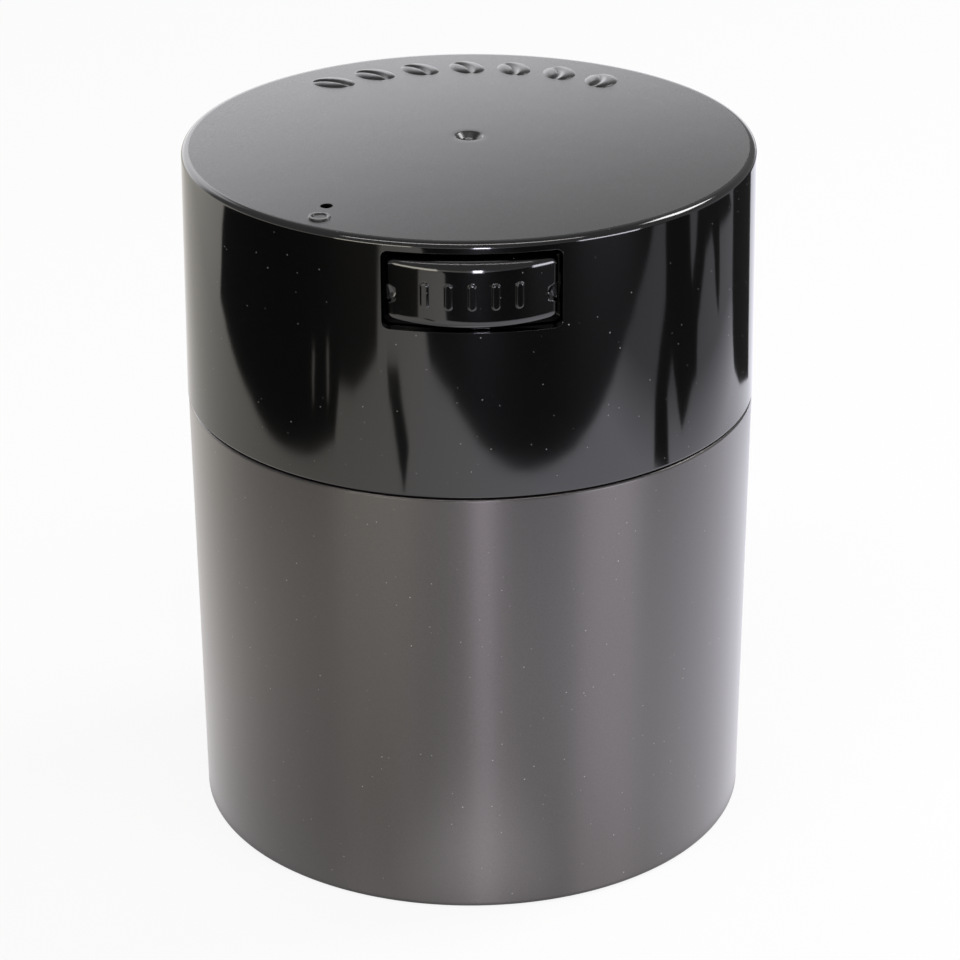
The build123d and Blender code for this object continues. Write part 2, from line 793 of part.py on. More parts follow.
def biarc(start, start_way, end, end_way):
    """Two arcs that join two places and their directions without a kink."""
    span = end - start
    both = start_way + end_way
    share = 2 * (1 - start_way.dot(end_way))
    reach = (sqrt(span.dot(both) ** 2 + share * span.dot(span)) - span.dot(both)) / share
    near = start + start_way * reach
    far = end - end_way * reach
    joint = (near + far) / 2
    TangentArc(start, joint, tangent=start_way)
    TangentArc(joint, end, tangent=(far - near).normalized())


# Button springs: from the seats on the button's plate back to the keeper's wall
spring_length = spring_room - 2 * (wire_radius + contact_gap)
half_turns = 2 * spring_turns
for side, x in (("left", -spring_pitch / 2), ("right", spring_pitch / 2)):
    spring_start = Vector(x, wire_radius + contact_gap - spring_face, spring_height)
    with BuildPart() as button_spring:
        with BuildLine() as wire_line:
            for i in range(half_turns):
                near_end = helix_point(spring_start, spring_length, i / half_turns)
                far_end = helix_point(spring_start, spring_length, (i + 1) / half_turns)
                biarc(*near_end, *far_end)
        with BuildSketch(Plane(origin=wire_line.line @ 0, z_dir=wire_line.line % 0)):
            Circle(wire_radius)
        sweep()
    finish(button_spring, f"button_spring_{side}")


# Valve seat: the housing of the one-way valve, with its ports and the raised ring under the disc
valve_inside = valve_radius - valve_wall
disc_radius = valve_inside - disc_play
seat_ring_outside = disc_radius - disc_overlap
seat_ring_inside = seat_ring_outside - seat_ring_width
valve_floor = deck_top - valve_depth
valve_under = valve_floor - valve_floor_thickness
valve_rim = deck_top + valve_rim_height
ring_top = valve_floor + seat_ring_height
disc_foot = ring_top + contact_gap
disc_stop = disc_foot + disc_thickness + disc_lift + contact_gap
with BuildPart() as valve_seat:
    with BuildSketch(front_plane(-valve_setback)):
        with BuildLine():
            Polyline(
                (0, valve_under),
                (valve_inside, valve_under),
                (valve_inside, valve_under - valve_skirt),
                (valve_radius, valve_under - valve_skirt),
                (valve_radius, deck_top),
                (valve_radius + valve_flange, deck_top),
                (valve_radius + valve_flange, valve_rim),
                (valve_inside, valve_rim),
                (valve_inside, valve_floor),
                (seat_ring_outside, valve_floor),
                (seat_ring_outside, ring_top),
                (seat_ring_inside, ring_top),
                (seat_ring_inside, valve_floor),
                (0, valve_floor),
                close=True,
            )
        make_face()
    revolve(axis=axis_at(0, -valve_setback))
    with BuildSketch(Plane.XY.offset(valve_under)):
        with Locations((0, valve_setback)):
            with PolarLocations(valve_port_distance_share * seat_ring_inside, valve_port_count):
                Circle(valve_port_radius_share * seat_ring_inside)
    extrude(amount=valve_floor_thickness, mode=Mode.SUBTRACT)
finish(valve_seat, "valve_seat")


# Valve disc: lies on the raised ring and lifts to the cover's stop
with BuildPart() as valve_disc:
    with BuildSketch(Plane.XY.offset(disc_foot)):
        with Locations((0, valve_setback)):
            Circle(disc_radius)
    extrude(amount=disc_thickness)
finish(valve_disc, "valve_disc")


# Valve cover: a lid with vent holes, whose spigot stops the disc
spigot_radius = valve_inside - contact_gap
spigot_inside = spigot_radius - cover_spigot_width
with BuildPart() as valve_cover:
    with BuildSketch(front_plane(-valve_setback)):
        with BuildLine():
            FilletPolyline(
                (0, valve_rim),
                (spigot_inside, valve_rim),
                (spigot_inside, disc_stop),
                (spigot_radius, disc_stop),
                (spigot_radius, valve_rim),
                (valve_radius + valve_flange, valve_rim),
                (valve_radius + valve_flange, valve_rim + cover_thickness),
                (0, valve_rim + cover_thickness),
                radius=[0, 0, 0, 0, 0, 0, cover_edge, 0],
                close=True,
            )
        make_face()
    revolve(axis=axis_at(0, -valve_setback))
    with BuildSketch(Plane.XY.offset(valve_rim)):
        with Locations((0, valve_setback)):
            with PolarLocations(cover_port_distance_share * spigot_inside, cover_port_count):
                Circle(cover_port_radius_share * spigot_inside)
    extrude(amount=cover_thickness, mode=Mode.SUBTRACT)
finish(valve_cover, "valve_cover")


# Valve filter: a felt disc under the valve's floor
with BuildPart() as valve_filter:
    with BuildSketch(Plane.XY.offset(valve_under - filter_thickness)):
        with Locations((0, valve_setback)):
            Circle(valve_inside - contact_gap)
    extrude(amount=filter_thickness)
finish(valve_filter, "valve_filter")
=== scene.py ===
from math import asin, cos, exp, pi, radians, sin

import bmesh
import bpy
from mathutils import Matrix, Vector


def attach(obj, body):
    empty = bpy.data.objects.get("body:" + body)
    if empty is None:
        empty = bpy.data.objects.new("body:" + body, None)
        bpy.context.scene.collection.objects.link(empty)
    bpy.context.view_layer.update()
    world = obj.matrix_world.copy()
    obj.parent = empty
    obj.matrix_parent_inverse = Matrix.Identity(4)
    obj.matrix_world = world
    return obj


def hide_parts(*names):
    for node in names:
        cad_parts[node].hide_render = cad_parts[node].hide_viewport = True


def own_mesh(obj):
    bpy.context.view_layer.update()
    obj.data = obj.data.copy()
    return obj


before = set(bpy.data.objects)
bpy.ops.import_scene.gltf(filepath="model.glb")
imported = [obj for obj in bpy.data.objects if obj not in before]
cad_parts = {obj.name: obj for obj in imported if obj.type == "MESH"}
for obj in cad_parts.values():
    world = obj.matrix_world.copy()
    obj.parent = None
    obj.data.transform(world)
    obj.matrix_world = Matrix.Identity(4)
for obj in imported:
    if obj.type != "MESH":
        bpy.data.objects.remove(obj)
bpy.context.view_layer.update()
MM = 0.001

# Canister body: a drafted cup with a narrower neck, injection moulded in one piece from styrene plastic
# that carries a fine grey pearl pigment. The pigment's flakes lie flat in the skin and line up round the
# wall, so that a lamp draws out into a soft upright streak on it.


def linear(hex_colour):
    """An sRGB hex colour as the linear colour that a shader takes."""
    shares = [int(hex_colour[i:i + 2], 16) / 255 for i in (1, 3, 5)]
    return [s / 12.92 if s <= 0.04045 else ((s + 0.055) / 1.055) ** 2.4 for s in shares] + [1.0]


def add_node(tree, kind, links=None, **settings):
    """One node with its settings, and its inputs as values or as outputs to link. Gives its outputs."""
    node = tree.nodes.new(kind)
    for name, value in settings.items():
        setattr(node, name, value)
    for name, value in (links or {}).items():
        if isinstance(value, bpy.types.NodeSocket):
            tree.links.new(value, node.inputs[name])
        else:
            node.inputs[name].default_value = value
    return node.outputs


def new_finish(name):
    """A new material's name, node tree and place on the piece, from which its finish is made up."""
    material = bpy.data.materials.new(name)
    material.use_nodes = True
    tree = material.node_tree
    tree.nodes.clear()
    return material, tree, add_node(tree, "ShaderNodeTexCoord")["Object"]


def surface(tree, **sockets):
    """The shader of a finish, with its sockets by name, and the output that shows it."""
    sockets = {
        name.replace("_", " ").title().replace("Ior", "IOR"): value for name, value in sockets.items()}
    shader = add_node(tree, "ShaderNodeBsdfPrincipled", sockets)
    add_node(tree, "ShaderNodeOutputMaterial", {"Surface": shader[0]})


def dust(tree, place):
    """Where dust lies: specks about a tenth of a millimetre across, scattered, some of them faint."""
    specks = add_node(
        tree, "ShaderNodeTexVoronoi", {"Vector": place, "Scale": 1 / (1.8 * MM), "Randomness": 1.0})
    near = add_node(
        tree, "ShaderNodeMapRange", {"Value": specks["Distance"], "From Min": 0.080, "From Max": 0.040})[0]
    chance = add_node(tree, "ShaderNodeSeparateColor", {"Color": specks["Color"]})[0]
    kept = add_node(tree, "ShaderNodeMapRange", {"Value": chance, "From Min": 0.3, "From Max": 1.0})[0]
    return add_node(tree, "ShaderNodeMath", {0: near, 1: kept}, operation="MULTIPLY", use_clamp=True)[0]


def turn_profile(corners):
    """A closed shape turned from its profile: corners of radius, height and rounding in millimetres."""
    shape = bmesh.new()
    line = [shape.verts.new((radius * MM, 0, height * MM)) for radius, height, _ in corners]
    for near, far in zip(line, line[1:]):
        shape.edges.new((near, far))
    for corner, (_, _, rounding) in zip(line, corners):
        if rounding:
            bmesh.ops.bevel(
                shape, geom=[corner], offset=rounding * MM, offset_type="OFFSET", affect="VERTICES",
                segments=8, profile=0.5, material=-1)
    bmesh.ops.spin(
        shape, geom=shape.verts[:] + shape.edges[:], cent=(0, 0, 0), axis=(0, 0, 1), angle=2 * pi,
        steps=360, use_merge=True)
    bmesh.ops.remove_doubles(shape, verts=shape.verts[:], dist=0.002 * MM)
    bmesh.ops.recalc_face_normals(shape, faces=shape.faces[:])
    return shape


def piece_from(shape, name):
    """A piece from its finished shape, in the scene."""
    mesh = bpy.data.meshes.new(name)
    shape.to_mesh(mesh)
    shape.free()
    piece = bpy.data.objects.new(name, mesh)
    bpy.context.scene.collection.objects.link(piece)
    return piece


def settle(piece):
    """The modifiers of a piece become part of its mesh."""
    bpy.context.view_layer.update()
    whole = bpy.context.evaluated_depsgraph_get()
    settled = bpy.data.meshes.new_from_object(
        piece.evaluated_get(whole), preserve_all_data_layers=True, depsgraph=whole)
    piece.modifiers.clear()
    piece.data = settled
    settled.name = piece.name


def shade_evenly(piece):
    """Smooth shading that turns only within the roundings and breaks at sharp edges."""
    piece.data.shade_smooth()
    piece.data.set_sharp_from_angle(angle=radians(35))
    even = piece.modifiers.new("even_shading", "WEIGHTED_NORMAL")
    even.keep_sharp = True
    even.weight = 100
    settle(piece)


def fit(piece, material, body, node_name):
    """A finished piece takes its finish, and stands for a CAD node on its body."""
    piece.data.materials.clear()
    piece.data.materials.append(material)
    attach(piece, body)
    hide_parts(node_name)


foot_radius = 50.5
shoulder_radius = 51.35
shoulder_height = 81.1
mouth_height = 107.0
floor_height = 3.2
base_recess = 1.0
base_mark_height = 1.9      # of the moulding mark in the middle of the base

canister_cup = piece_from(turn_profile([
    (0.0, floor_height, 0),                         # the floor inside
    (46.52, floor_height, 3.0),
    (47.07, mouth_height, 0.6),                     # the bore, up to the mouth's lip
    (48.97, mouth_height, 0.6),
    (49.25, shoulder_height, 0),                    # down the neck to the shoulder
    (shoulder_radius, shoulder_height, 0.45),
    (foot_radius, 0.0, 1.2),                        # down the wall to the foot
    (46.0, 0.0, 0.3),
    (45.0, base_recess, 0.2),                       # the recess under the base, and the mark
    (2.5, base_recess, 0.1),
    (1.5, base_mark_height, 0),
    (0.0, base_mark_height, 0),
]), "canister_cup")
shade_evenly(canister_cup)

pearl, tree, place = new_finish("pearl_filled_moulded_styrene")
# Flakes of pigment are under a tenth of a millimetre across, and are drawn about three times coarser
flakes = add_node(
    tree, "ShaderNodeTexNoise", {"Vector": place, "Scale": 1 / (0.3 * MM), "Detail": 1.0})[0]
# The melt carried them up the wall in long faint clouds, about 9 mm wide and 60 mm tall
melt_way = add_node(tree, "ShaderNodeMapping", {"Vector": place, "Scale": (1.0, 1.0, 0.15)})[0]
clouds = add_node(
    tree, "ShaderNodeTexNoise", {"Vector": melt_way, "Scale": 1 / (9 * MM), "Detail": 2.0})[0]
flake_colour = add_node(
    tree, "ShaderNodeMix", {0: flakes, 6: linear("#474342"), 7: linear("#565251")}, data_type="RGBA")[2]
cloud_colour = add_node(
    tree, "ShaderNodeMix", {0: clouds, 6: linear("#e6e4e2"), 7: linear("#ffffff")}, data_type="RGBA")[2]
colour = add_node(
    tree, "ShaderNodeMix", {0: 1.0, 6: flake_colour, 7: cloud_colour}, data_type="RGBA",
    blend_type="MULTIPLY")[2]
gloss = add_node(tree, "ShaderNodeMapRange", {"Value": clouds, "To Min": 0.34, "To Max": 0.41})[0]
# The mould's edges are softened by a few tenths of a millimetre
soft_edge = add_node(tree, "ShaderNodeBevel", {"Radius": 0.25 * MM})[0]
skin = add_node(
    tree, "ShaderNodeBump",
    {"Height": flakes, "Distance": 0.004 * MM, "Strength": 1.0, "Normal": soft_edge})[0]
round_the_wall = add_node(tree, "ShaderNodeTangent", direction_type="RADIAL", axis="Z")[0]
# Dust hides the pigment under it
dusty = dust(tree, place)
clean = add_node(tree, "ShaderNodeMath", {0: 1.0, 1: dusty}, operation="SUBTRACT")[0]
colour = add_node(
    tree, "ShaderNodeMix", {0: dusty, 6: colour, 7: linear("#a8a5a1")}, data_type="RGBA")[2]
surface(
    tree, base_color=colour, metallic=clean, roughness=gloss, normal=skin, anisotropic=0.9,
    anisotropic_rotation=0.25, tangent=round_the_wall, coat_weight=1.0, coat_roughness=0.3,
    coat_IOR=1.6)
fit(canister_cup, pearl, "canister", "canister_body")


# Inner cap: the deck under the outer cap and the plug below it, which seals in the canister's neck. It is
# moulded in one piece from plain black polypropylene, with the mould's fine spark-eroded grain all over,
# and the outer cap snaps over its edge.
def dress(node_name, material):
    """A piece that keeps its CAD shape takes its finish."""
    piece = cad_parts[node_name]
    piece.material_slots[0].material = material


def moulded_plastic(name, dark, light, roughness, grain_size, grain_depth, edge, glow=0.0):
    """Plain plastic from a spark-eroded mould. Edges that hands and parts rub are a little lighter."""
    material, tree, place = new_finish(name)
    grain = add_node(
        tree, "ShaderNodeTexNoise", {"Vector": place, "Scale": 1 / (grain_size * MM), "Detail": 3.0})[0]
    clouds = add_node(
        tree, "ShaderNodeTexNoise", {"Vector": place, "Scale": 1 / (14 * MM), "Detail": 2.0})[0]
    soft_edge = add_node(tree, "ShaderNodeBevel", {"Radius": edge * MM})[0]
    true_face = add_node(tree, "ShaderNodeNewGeometry")["Normal"]
    facing = add_node(
        tree, "ShaderNodeVectorMath", {0: soft_edge, 1: true_face}, operation="DOT_PRODUCT")[1]
    rubbed = add_node(
        tree, "ShaderNodeMapRange",
        {"Value": facing, "From Min": 0.995, "From Max": 0.85, "To Max": 0.35})[0]
    share = add_node(tree, "ShaderNodeMath", {0: clouds, 1: rubbed}, operation="ADD", use_clamp=True)[0]
    colour = add_node(
        tree, "ShaderNodeMix", {0: share, 6: linear(dark), 7: linear(light)}, data_type="RGBA")[2]
    dull = add_node(
        tree, "ShaderNodeMapRange",
        {"Value": clouds, "From Min": 0.3, "From Max": 0.7,
         "To Min": roughness - 0.05, "To Max": roughness + 0.05})[0]
    skin = add_node(
        tree, "ShaderNodeBump",
        {"Height": grain, "Distance": grain_depth * MM, "Strength": 1.0, "Normal": soft_edge})[0]
    surface(
        tree, base_color=colour, roughness=dull, normal=skin, subsurface_weight=glow,
        subsurface_radius=(1.0, 0.9, 0.8), subsurface_scale=0.5 * MM)
    return material


# Polypropylene is slightly waxy: its reflections are broad and never quite black
eroded_black = moulded_plastic(
    "spark_eroded_black_polypropylene", "#141414", "#262626", 0.48, 0.4, 0.03, 0.2)
dress("inner_cap", eroded_black)


# Lip seal: a ring of translucent grey silicone with one thin lip, compression moulded and polished by its
# tool. It sits loose in the plug's groove, and its lip slides in the canister's bore.
def moulded_rubber(name, dark, light, roughness, bloom_size, depth, glow):
    """Rubber from a smooth tool: a soft skin with a faint cloudy bloom and very small pits."""
    material, tree, place = new_finish(name)
    bloom = add_node(
        tree, "ShaderNodeTexNoise", {"Vector": place, "Scale": 1 / (bloom_size * MM), "Detail": 4.0})[0]
    pits = add_node(
        tree, "ShaderNodeTexNoise", {"Vector": place, "Scale": 1 / (0.35 * MM), "Detail": 1.0})[0]
    colour = add_node(
        tree, "ShaderNodeMix", {0: bloom, 6: linear(dark), 7: linear(light)}, data_type="RGBA")[2]
    dull = add_node(
        tree, "ShaderNodeMapRange",
        {"Value": bloom, "From Min": 0.3, "From Max": 0.7,
         "To Min": roughness - 0.06, "To Max": roughness + 0.06})[0]
    soft_edge = add_node(tree, "ShaderNodeBevel", {"Radius": 0.2 * MM})[0]
    skin = add_node(
        tree, "ShaderNodeBump",
        {"Height": pits, "Distance": depth * MM, "Strength": 1.0, "Normal": soft_edge})[0]
    surface(
        tree, base_color=colour, roughness=dull, normal=skin, IOR=1.41, subsurface_weight=glow,
        subsurface_radius=(1.0, 1.0, 1.0), subsurface_scale=1.5 * MM)
    return material


# Silicone lets light some way in, so that it looks soft and a little milky
silicone = moulded_rubber("moulded_grey_silicone", "#a9a9a6", "#c0c0bd", 0.42, 6, 0.01, 0.6)
dress("lip_seal", silicone)

# Port grommet: a small silicone bush pressed into the hole in the deck. Its rim is the seat that the
# stopper pad closes, and it is moulded from the same silicone as the lip seal.
dress("port_grommet", silicone)

# One-way valve: a housing of off-white polypropylene pressed into the deck, a felt disc under its floor
# that keeps coffee dust out, a thin silicone disc that lies on its seat, and a cover that snaps in on top.
off_white = moulded_plastic(
    "moulded_off_white_polypropylene", "#bdbab2", "#d2d0c9", 0.42, 0.5, 0.015, 0.2, 0.3)
dress("valve_seat", off_white)
dress("valve_cover", off_white)
rust_silicone = moulded_rubber("moulded_rust_silicone", "#8a3a20", "#a04a2c", 0.45, 4, 0.008, 0.3)
dress("valve_disc", rust_silicone)

felt, tree, place = new_finish("needled_white_felt")
# Fibres are hundredths of a millimetre thick, and are drawn as tangled strands of about 0.3 mm. Felt has
# no gloss: what light it throws back comes from the tips of its fibres
tangle = add_node(
    tree, "ShaderNodeTexNoise",
    {"Vector": place, "Scale": 1 / (1.2 * MM), "Detail": 2.0, "Distortion": 1.5})[1]
bent = add_node(tree, "ShaderNodeVectorMath", {0: tangle, 3: 2 * MM}, operation="SCALE")[0]
bent_place = add_node(tree, "ShaderNodeVectorMath", {0: place, 1: bent}, operation="ADD")[0]
fibres = add_node(
    tree, "ShaderNodeTexNoise",
    {"Vector": bent_place, "Scale": 1 / (0.3 * MM), "Detail": 4.0, "Roughness": 0.7})[0]
colour = add_node(
    tree, "ShaderNodeMix", {0: fibres, 6: linear("#bdb7aa"), 7: linear("#e2ddd2")}, data_type="RGBA")[2]
nap = add_node(tree, "ShaderNodeBump", {"Height": fibres, "Distance": 0.12 * MM, "Strength": 1.0})[0]
surface(tree, base_color=colour, roughness=0.95, normal=nap, sheen_weight=0.4, sheen_roughness=0.5)
dress("valve_filter", felt)

# Valve slide: a tongue of natural white acetal that lies on the deck's rails behind the button. Acetal
# needs no grease, and its faces take a polish from sliding, in faint lines that run the way it moves.
natural_acetal, tree, place = new_finish("moulded_natural_acetal")
slide_way = add_node(tree, "ShaderNodeMapping", {"Vector": place, "Scale": (1.0, 0.04, 1.0)})[0]
polish_lines = add_node(
    tree, "ShaderNodeTexNoise", {"Vector": slide_way, "Scale": 1 / (0.5 * MM), "Detail": 2.0})[0]
clouds = add_node(tree, "ShaderNodeTexNoise", {"Vector": place, "Scale": 1 / (8 * MM), "Detail": 2.0})[0]
colour = add_node(
    tree, "ShaderNodeMix", {0: clouds, 6: linear("#d6d3ca"), 7: linear("#e2e0d8")}, data_type="RGBA")[2]
gloss = add_node(
    tree, "ShaderNodeMapRange",
    {"Value": polish_lines, "From Min": 0.3, "From Max": 0.7, "To Min": 0.26, "To Max": 0.42})[0]
soft_edge = add_node(tree, "ShaderNodeBevel", {"Radius": 0.2 * MM})[0]
skin = add_node(
    tree, "ShaderNodeBump",
    {"Height": polish_lines, "Distance": 0.004 * MM, "Strength": 1.0, "Normal": soft_edge})[0]
surface(
    tree, base_color=colour, roughness=gloss, normal=skin, IOR=1.48, subsurface_weight=0.4,
    subsurface_radius=(1.0, 0.95, 0.85), subsurface_scale=1.0 * MM)
dress("valve_slide", natural_acetal)

# Stopper pad: soft black nitrile rubber, cut from moulded sheet and pressed into the slide's pocket. The
# sheet's ground faces are matte, with a faint grey bloom.
nitrile = moulded_rubber("ground_black_nitrile", "#111111", "#232323", 0.72, 3, 0.04, 0.0)
dress("stopper_pad", nitrile)

# Slide keeper: a black bridge over the slide that also backs the springs. It comes from a smoother mould
# than the deck, and is held to the deck's bosses by two screws.
smooth_black = moulded_plastic("moulded_black_polypropylene", "#111111", "#1e1e1e", 0.36, 0.6, 0.012, 0.2)
dress("slide_keeper", smooth_black)

# Keeper screws: self-tapping pan heads, cold headed from steel wire, then plated with bright zinc. The
# plating is slightly cloudy and faintly blue, and duller where it lies thick.
zinc, tree, place = new_finish("zinc_plated_steel")
cloudy = add_node(tree, "ShaderNodeTexNoise", {"Vector": place, "Scale": 1 / (1.5 * MM), "Detail": 3.0})[0]
grain = add_node(
    tree, "ShaderNodeTexNoise", {"Vector": place, "Scale": 1 / (0.15 * MM), "Detail": 1.0})[0]
colour = add_node(
    tree, "ShaderNodeMix", {0: cloudy, 6: linear("#a9adb2"), 7: linear("#c6c8c9")}, data_type="RGBA")[2]
gloss = add_node(
    tree, "ShaderNodeMapRange",
    {"Value": cloudy, "From Min": 0.3, "From Max": 0.7, "To Min": 0.22, "To Max": 0.4})[0]
soft_edge = add_node(tree, "ShaderNodeBevel", {"Radius": 0.12 * MM})[0]
skin = add_node(
    tree, "ShaderNodeBump",
    {"Height": grain, "Distance": 0.004 * MM, "Strength": 1.0, "Normal": soft_edge})[0]
surface(tree, base_color=colour, metallic=1.0, roughness=gloss, normal=skin)
dress("keeper_screws", zinc)

# Button springs: two compression springs coiled from hard-drawn stainless wire. Each has a closed turn at
# both ends, and sits on a post of the button and one of the keeper.
wire_radius = 0.25
coil_radius = 2.45
spring_height = 117.5
spring_offset = 11.5
spring_near = -43.92        # the seat on the button
spring_far = -30.0          # the keeper's wall
seat_gap = 0.05
closed_pitch = 0.54         # the end turns lie almost on each other
open_turns = 5
turn_steps = 28


def coil_spring(name, x):
    """A spring along Y: the wire's section, spun about the spring's axis and moved along as it goes."""
    shape = bmesh.new()
    start = spring_near + seat_gap + wire_radius
    # The circle lies in the level plane through the spring's axis, so it stands across the wire
    section = bmesh.ops.create_circle(shape, segments=10, radius=wire_radius * MM)["verts"]
    bmesh.ops.translate(
        shape, verts=section, vec=((x + coil_radius) * MM, start * MM, spring_height * MM))
    length = spring_far - spring_near - 2 * (seat_gap + wire_radius)
    open_pitch = (length - 2 * closed_pitch) / open_turns
    end = list({edge for vert in section for edge in vert.link_edges})
    for turns, pitch in ((1, closed_pitch), (open_turns, open_pitch), (1, closed_pitch)):
        spun = bmesh.ops.spin(
            shape, geom=end, cent=(x * MM, 0, spring_height * MM), axis=(0, 1, 0),
            dvec=(0, pitch / turn_steps * MM, 0), angle=turns * 2 * pi, steps=turns * turn_steps)
        end = [part for part in spun["geom_last"] if isinstance(part, bmesh.types.BMEdge)]
    bmesh.ops.remove_doubles(shape, verts=shape.verts[:], dist=0.01 * MM)
    bmesh.ops.holes_fill(shape, edges=[edge for edge in shape.edges if edge.is_boundary], sides=0)
    bmesh.ops.recalc_face_normals(shape, faces=shape.faces[:])
    for face in shape.faces:
        face.smooth = len(face.verts) == 4
    return piece_from(shape, name)


drawn_wire, tree, place = new_finish("hard_drawn_stainless_wire")
# Drawing leaves fine lines along the wire and a thin straw-grey film
film = add_node(tree, "ShaderNodeTexNoise", {"Vector": place, "Scale": 1 / (0.8 * MM), "Detail": 3.0})[0]
lines = add_node(tree, "ShaderNodeTexNoise", {"Vector": place, "Scale": 1 / (0.12 * MM), "Detail": 1.0})[0]
colour = add_node(
    tree, "ShaderNodeMix", {0: film, 6: linear("#9c9a95"), 7: linear("#c2c1bd")}, data_type="RGBA")[2]
gloss = add_node(
    tree, "ShaderNodeMapRange",
    {"Value": film, "From Min": 0.3, "From Max": 0.7, "To Min": 0.2, "To Max": 0.34})[0]
skin = add_node(tree, "ShaderNodeBump", {"Height": lines, "Distance": 0.003 * MM, "Strength": 1.0})[0]
surface(tree, base_color=colour, metallic=1.0, roughness=gloss, normal=skin)

for side, x in (("left", -spring_offset), ("right", spring_offset)):
    spring = coil_spring(f"coil_spring_{side}", x)
    fit(spring, drawn_wire, "cap", f"button_spring_{side}")
    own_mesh(spring)


# Outer cap: the shell that the hand holds, injection moulded from black ABS in a polished mould. Only the
# top, inside its rim, is finely textured. The shell snaps over the deck's edge.
def polished_abs(name, edge, top_field=False):
    """Black ABS from a polished mould, with a few specks of dust on it, and a textured field on top."""
    material, tree, place = new_finish(name)
    # A polished mould still leaves a very slight wave in the skin, every few millimetres
    wave = add_node(tree, "ShaderNodeTexNoise", {"Vector": place, "Scale": 1 / (9 * MM), "Detail": 1.0})[0]
    soft_edge = add_node(tree, "ShaderNodeBevel", {"Radius": edge * MM})[0]
    skin = add_node(
        tree, "ShaderNodeBump",
        {"Height": wave, "Distance": 0.012 * MM, "Strength": 1.0, "Normal": soft_edge})[0]
    rough = 0.07
    if top_field:
        parts = add_node(tree, "ShaderNodeSeparateXYZ", {"Vector": place})
        flat = add_node(tree, "ShaderNodeCombineXYZ", {"X": parts["X"], "Y": parts["Y"]})[0]
        out = add_node(tree, "ShaderNodeVectorMath", {0: flat}, operation="LENGTH")["Value"]
        inside = add_node(
            tree, "ShaderNodeMapRange", {"Value": out, "From Min": 49.8 * MM, "From Max": 49.6 * MM})[0]
        above = add_node(
            tree, "ShaderNodeMath", {0: parts["Z"], 1: 127.3 * MM}, operation="GREATER_THAN")[0]
        field = add_node(tree, "ShaderNodeMath", {0: inside, 1: above}, operation="MULTIPLY")[0]
        # The texture's pits are a few hundredths of a millimetre wide, drawn as 0.25 mm ones
        pits = add_node(
            tree, "ShaderNodeTexNoise", {"Vector": place, "Scale": 1 / (0.25 * MM), "Detail": 2.0})[0]
        satin = add_node(
            tree, "ShaderNodeMapRange",
            {"Value": pits, "From Min": 0.3, "From Max": 0.7, "To Min": 0.27, "To Max": 0.33})[0]
        rough = add_node(tree, "ShaderNodeMix", {0: field, 2: rough, 3: satin})[0]
        pitted = add_node(tree, "ShaderNodeMath", {0: field, 1: pits}, operation="MULTIPLY")[0]
        skin = add_node(
            tree, "ShaderNodeBump",
            {"Height": pitted, "Distance": 0.006 * MM, "Strength": 1.0, "Normal": skin})[0]
    dusty = dust(tree, place)
    colour = add_node(
        tree, "ShaderNodeMix", {0: dusty, 6: linear("#020202"), 7: linear("#807e7a")}, data_type="RGBA")[2]
    rough = add_node(tree, "ShaderNodeMix", {0: dusty, 2: rough, 3: 0.8})[0]
    surface(tree, base_color=colour, roughness=rough, normal=skin, IOR=1.7)
    return material


crown_height = 128.5        # the middle of the top
crown_radius = 1250.5       # of the top's very slight dome
top_thickness = 1.8
rim_height = 127.5
rim_radius = 51.0
field_edge = 49.98          # just inside where the rim's rounding starts
skirt_radius = 51.5
skirt_foot = 81.4
skirt_inside = 49.31        # radius inside, above and below the bead
bead_height = 108.1
bead_radius = 48.96
mark_radius = 2.5           # of the countersink at the middle of the top
mark_floor = 127.6
stub_radius = 0.75
stub_height = 127.95
boss_radius = 4.5           # under the moulding mark
boss_foot = 125.7
rib_length = 5.9            # out from the axis
rib_thickness = 1.6
rib_height = 16.9
rib_radius = 47.1           # of the ribs' middles
rib_middle = 117.65
window_width = 30.2
window_height = 13.9
window_depth = 16.0         # of the cut, well through the skirt
window_corner = 1.2
window_out = -52.74         # the cut's middle, along Y
window_middle = 118.65
vent_radius = 1.1
vent_middle = (-24.33, -33.49)
vent_height = 127.0         # the cut's middle
vent_cut = 8.0              # its depth, right through the top
ring_middle = (-25.39, -38.36)
ring_out = 46.0             # its middle's distance from the axis
ring_inside = 1.3
ring_outside = 1.9
ring_relief = 0.2
ring_root = -0.6            # how far it reaches down into the top
row_radius = 40.8           # of the beans round the cap's axis
row_spread = 75.0           # degrees, from the first bean to the last
bean_count = 7
bean_length = 8.4
bean_width = 6.0
bean_relief = 0.4
bean_lean = 28.0
crease_radius = 7.0         # of the arc that the beans' crease follows
crease_width = 0.5
crease_share = 0.85         # of a bean's relief that it takes away
sunk = 0.1                  # how far the beans' middles lie under the top


def crown(radius):
    """The height of the top at a distance from the axis."""
    return crown_height - crown_radius + (crown_radius ** 2 - radius ** 2) ** 0.5


def carve(piece, shape, operation):
    """What a shape takes from a piece with DIFFERENCE, or leaves of it with INTERSECT."""
    tool = piece_from(shape, "tool")
    carving = piece.modifiers.new("carving", "BOOLEAN")
    carving.operation = operation
    carving.solver = "EXACT"
    carving.object = tool
    settle(piece)
    bpy.data.objects.remove(tool)


